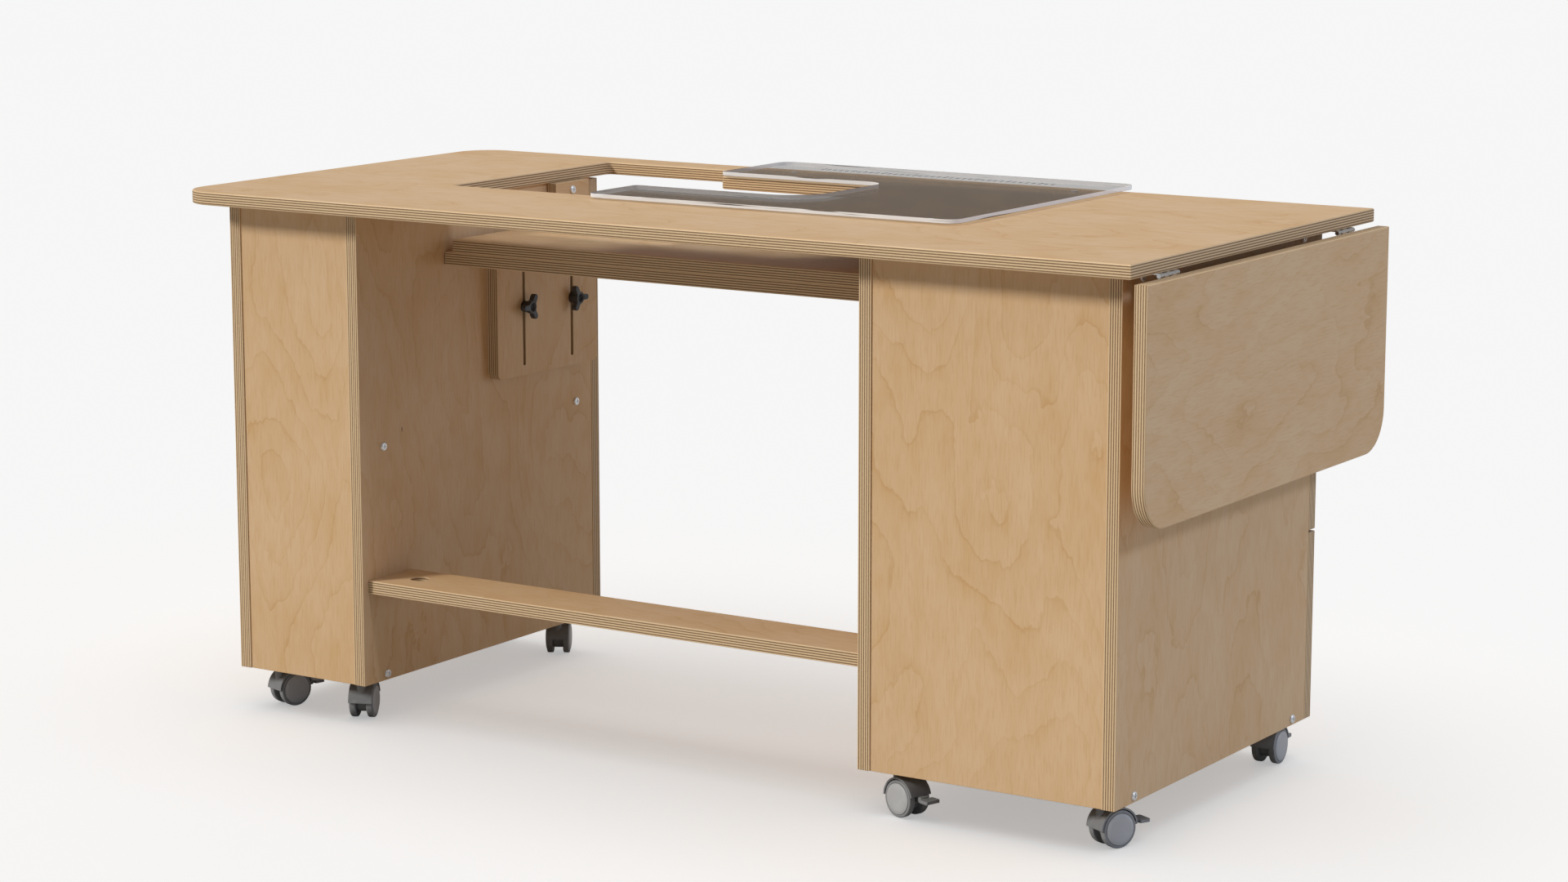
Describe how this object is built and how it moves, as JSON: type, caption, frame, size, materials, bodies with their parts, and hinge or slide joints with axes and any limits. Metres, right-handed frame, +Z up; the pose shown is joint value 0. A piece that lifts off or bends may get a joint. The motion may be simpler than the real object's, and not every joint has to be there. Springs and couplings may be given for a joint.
{
  "type": "sewing table",
  "caption": "Plywood sewing table on casters: cupboard and drawer pedestals, drop leaf, height-adjustable platform under a bay in the top, and a clear insert plate.",
  "frame": {"origin": "on the floor, under the middle of the table's whole box with the leaf hanging", "axes": "+Z up, +Y towards the person who sews, +X towards the end with the drop leaf"},
  "size_m": [1.4886, 0.708, 0.7385],
  "materials": {
    "birch_top": "satin lacquer",
    "birch_panel": "satin lacquer",
    "beech": "sanded",
    "clear_acrylic": "polished",
    "foot_rubber": "soft clear",
    "zinc_steel": "zinc plated",
    "hinge_steel": "nickel plated",
    "knob_plastic": "fine grain",
    "caster_plastic": "satin moulded",
    "caster_wheel": "satin moulded"
  },
  "bodies": {
    "frame": {"table_top": "birch_top", "top_cleats": "birch_panel", "left_outer_side": "birch_panel", "left_inner_side": "birch_panel", "left_back": "birch_panel", "left_bottom": "birch_panel", "left_shelf": "birch_panel", "right_inner_side": "birch_panel", "right_outer_side": "birch_panel", "right_back": "birch_panel", "right_bottom": "birch_panel", "pedestal_top_boards": "birch_panel", "foot_shelf": "birch_panel", "carcass_screws": "zinc_steel", "leaf_hinge_fixed": "hinge_steel", "leaf_hinge_pins": "hinge_steel", "door_hinge_fixed": "hinge_steel", "door_hinge_pins": "hinge_steel", "clamp_bolts": "zinc_steel", "drawer_runners": "beech"},
    "leaf": {"drop_leaf": "birch_top", "leaf_hinge_moving": "hinge_steel"},
    "platform": {"platform_deck": "birch_panel", "platform_bearer": "birch_panel", "slot_plates": "birch_panel"},
    "insert": {"clear_insert": "clear_acrylic", "insert_feet": "foot_rubber"},
    "door_leaf": {"door": "birch_panel", "door_hinge_moving": "hinge_steel"},
    "knob_1": {"knob_1": "knob_plastic"},
    "knob_2": {"knob_2": "knob_plastic"},
    "knob_3": {"knob_3": "knob_plastic"},
    "knob_4": {"knob_4": "knob_plastic"},
    "drawer_1": {"drawer_1_front": "birch_panel", "drawer_1_box": "birch_panel"},
    "drawer_2": {"drawer_2_front": "birch_panel", "drawer_2_box": "birch_panel"},
    "drawer_3": {"drawer_3_front": "birch_panel", "drawer_3_box": "birch_panel"},
    "swivel_left_back_outer": {"caster_hood_left_back_outer": "caster_plastic"},
    "wheels_left_back_outer": {"caster_wheels_left_back_outer": "caster_wheel"},
    "pedal_left_back_outer": {"caster_pedal_left_back_outer": "caster_plastic"},
    "swivel_left_back_inner": {"caster_hood_left_back_inner": "caster_plastic"},
    "wheels_left_back_inner": {"caster_wheels_left_back_inner": "caster_wheel"},
    "pedal_left_back_inner": {"caster_pedal_left_back_inner": "caster_plastic"},
    "swivel_left_front_outer": {"caster_hood_left_front_outer": "caster_plastic"},
    "wheels_left_front_outer": {"caster_wheels_left_front_outer": "caster_wheel"},
    "swivel_left_front_inner": {"caster_hood_left_front_inner": "caster_plastic"},
    "wheels_left_front_inner": {"caster_wheels_left_front_inner": "caster_wheel"},
    "swivel_right_back_inner": {"caster_hood_right_back_inner": "caster_plastic"},
    "wheels_right_back_inner": {"caster_wheels_right_back_inner": "caster_wheel"},
    "pedal_right_back_inner": {"caster_pedal_right_back_inner": "caster_plastic"},
    "swivel_right_back_outer": {"caster_hood_right_back_outer": "caster_plastic"},
    "wheels_right_back_outer": {"caster_wheels_right_back_outer": "caster_wheel"},
    "pedal_right_back_outer": {"caster_pedal_right_back_outer": "caster_plastic"},
    "swivel_right_front_inner": {"caster_hood_right_front_inner": "caster_plastic"},
    "wheels_right_front_inner": {"caster_wheels_right_front_inner": "caster_wheel"},
    "swivel_right_front_outer": {"caster_hood_right_front_outer": "caster_plastic"},
    "wheels_right_front_outer": {"caster_wheels_right_front_outer": "caster_wheel"},
    "pedal_right_front_outer": {"caster_pedal_right_front_outer": "caster_plastic"}
  },
  "joints": [
    {"name": "leaf_fold", "type": "hinge", "parent": "frame", "child": "leaf", "pos_m": [0.72323, 0, 0.70945], "axis": [0, -1, 0], "range_deg": [0, 90]},
    {"name": "platform_height", "type": "slide", "parent": "frame", "child": "platform", "axis": [0, 0, 1], "range_m": [-0.05, 0.031]},
    {"name": "insert_lift", "type": "slide", "parent": "frame", "child": "insert", "axis": [0, 0, 1], "range_m": [0, 0.06]},
    {"name": "door_swing", "type": "hinge", "parent": "frame", "child": "door_leaf", "pos_m": [-0.69532, 0.2315, 0], "axis": [0, 0, 1], "range_deg": [0, 170]},
    {"name": "knob_1_turn", "type": "hinge", "parent": "frame", "child": "knob_1", "pos_m": [-0.45167, 0.0445, 0.545], "axis": [1, 0, 0], "continuous": true},
    {"name": "knob_2_turn", "type": "hinge", "parent": "frame", "child": "knob_2", "pos_m": [-0.45167, 0.1595, 0.545], "axis": [1, 0, 0], "continuous": true},
    {"name": "knob_3_turn", "type": "hinge", "parent": "frame", "child": "knob_3", "pos_m": [0.30312, 0.0445, 0.545], "axis": [-1, 0, 0], "continuous": true},
    {"name": "knob_4_turn", "type": "hinge", "parent": "frame", "child": "knob_4", "pos_m": [0.30312, 0.1595, 0.545], "axis": [-1, 0, 0], "continuous": true},
    {"name": "drawer_1_slide", "type": "slide", "parent": "frame", "child": "drawer_1", "axis": [0, 1, 0], "range_m": [0, 0.38]},
    {"name": "drawer_2_slide", "type": "slide", "parent": "frame", "child": "drawer_2", "axis": [0, 1, 0], "range_m": [0, 0.38]},
    {"name": "drawer_3_slide", "type": "slide", "parent": "frame", "child": "drawer_3", "axis": [0, 1, 0], "range_m": [0, 0.38]},
    {"name": "swivel_left_back_outer_turn", "type": "hinge", "parent": "frame", "child": "swivel_left_back_outer", "pos_m": [-0.65428, -0.266, 0], "axis": [0, 0, 1], "continuous": true},
    {"name": "wheels_left_back_outer_roll", "type": "hinge", "parent": "swivel_left_back_outer", "child": "wheels_left_back_outer", "pos_m": [-0.64931, -0.24974, 0.024], "axis": [-0.9563, 0.2924, 0], "continuous": true},
    {"name": "pedal_left_back_outer_press", "type": "hinge", "parent": "swivel_left_back_outer", "child": "pedal_left_back_outer", "pos_m": [-0.64029, -0.22026, 0.02724], "axis": [-0.9563, 0.2924, 0], "range_deg": [0, 18]},
    {"name": "swivel_left_back_inner_turn", "type": "hinge", "parent": "frame", "child": "swivel_left_back_inner", "pos_m": [-0.50828, -0.266, 0], "axis": [0, 0, 1], "continuous": true},
    {"name": "wheels_left_back_inner_roll", "type": "hinge", "parent": "swivel_left_back_inner", "child": "wheels_left_back_inner", "pos_m": [-0.51559, -0.25066, 0.024], "axis": [-0.9026, -0.4305, 0], "continuous": true},
    {"name": "pedal_left_back_inner_press", "type": "hinge", "parent": "swivel_left_back_inner", "child": "pedal_left_back_inner", "pos_m": [-0.52887, -0.22283, 0.02724], "axis": [-0.9026, -0.4305, 0], "range_deg": [0, 18]},
    {"name": "swivel_left_front_outer_turn", "type": "hinge", "parent": "frame", "child": "swivel_left_front_outer", "pos_m": [-0.65428, 0.193, 0], "axis": [0, 0, 1], "continuous": true},
    {"name": "wheels_left_front_outer_roll", "type": "hinge", "parent": "swivel_left_front_outer", "child": "wheels_left_front_outer", "pos_m": [-0.64125, 0.20393, 0.024], "axis": [-0.6428, 0.766, 0], "continuous": true},
    {"name": "swivel_left_front_inner_turn", "type": "hinge", "parent": "frame", "child": "swivel_left_front_inner", "pos_m": [-0.50828, 0.193, 0], "axis": [0, 0, 1], "continuous": true},
    {"name": "wheels_left_front_inner_roll", "type": "hinge", "parent": "swivel_left_front_inner", "child": "wheels_left_front_inner", "pos_m": [-0.51703, 0.20757, 0.024], "axis": [-0.8572, -0.515, 0], "continuous": true},
    {"name": "swivel_right_back_inner_turn", "type": "hinge", "parent": "frame", "child": "swivel_right_back_inner", "pos_m": [0.35973, -0.266, 0], "axis": [0, 0, 1], "continuous": true},
    {"name": "wheels_right_back_inner_roll", "type": "hinge", "parent": "swivel_right_back_inner", "child": "wheels_right_back_inner", "pos_m": [0.37589, -0.27125, 0.024], "axis": [0.309, 0.9511, 0], "continuous": true},
    {"name": "pedal_right_back_inner_press", "type": "hinge", "parent": "swivel_right_back_inner", "child": "pedal_right_back_inner", "pos_m": [0.40521, -0.28078, 0.02724], "axis": [0.309, 0.9511, 0], "range_deg": [0, 18]},
    {"name": "swivel_right_back_outer_turn", "type": "hinge", "parent": "frame", "child": "swivel_right_back_outer", "pos_m": [0.64772, -0.266, 0], "axis": [0, 0, 1], "continuous": true},
    {"name": "wheels_right_back_outer_roll", "type": "hinge", "parent": "swivel_right_back_outer", "child": "wheels_right_back_outer", "pos_m": [0.65518, -0.25072, 0.024], "axis": [-0.8988, 0.4384, 0], "continuous": true},
    {"name": "pedal_right_back_outer_press", "type": "hinge", "parent": "swivel_right_back_outer", "child": "pedal_right_back_outer", "pos_m": [0.66869, -0.22301, 0.02724], "axis": [-0.8988, 0.4384, 0], "range_deg": [0, 18]},
    {"name": "swivel_right_front_inner_turn", "type": "hinge", "parent": "frame", "child": "swivel_right_front_inner", "pos_m": [0.35973, 0.193, 0], "axis": [0, 0, 1], "continuous": true},
    {"name": "wheels_right_front_inner_roll", "type": "hinge", "parent": "swivel_right_front_inner", "child": "wheels_right_front_inner", "pos_m": [0.345, 0.2015, 0.024], "axis": [-0.5, -0.866, 0], "continuous": true},
    {"name": "swivel_right_front_outer_turn", "type": "hinge", "parent": "frame", "child": "swivel_right_front_outer", "pos_m": [0.64772, 0.193, 0], "axis": [0, 0, 1], "continuous": true},
    {"name": "wheels_right_front_outer_roll", "type": "hinge", "parent": "swivel_right_front_outer", "child": "wheels_right_front_outer", "pos_m": [0.64684, 0.20998, 0.024], "axis": [-0.9986, -0.0523, 0], "continuous": true},
    {"name": "pedal_right_front_outer_press", "type": "hinge", "parent": "swivel_right_front_outer", "child": "pedal_right_front_outer", "pos_m": [0.64522, 0.24077, 0.02724], "axis": [-0.9986, -0.0523, 0], "range_deg": [0, 18]}
  ]
}
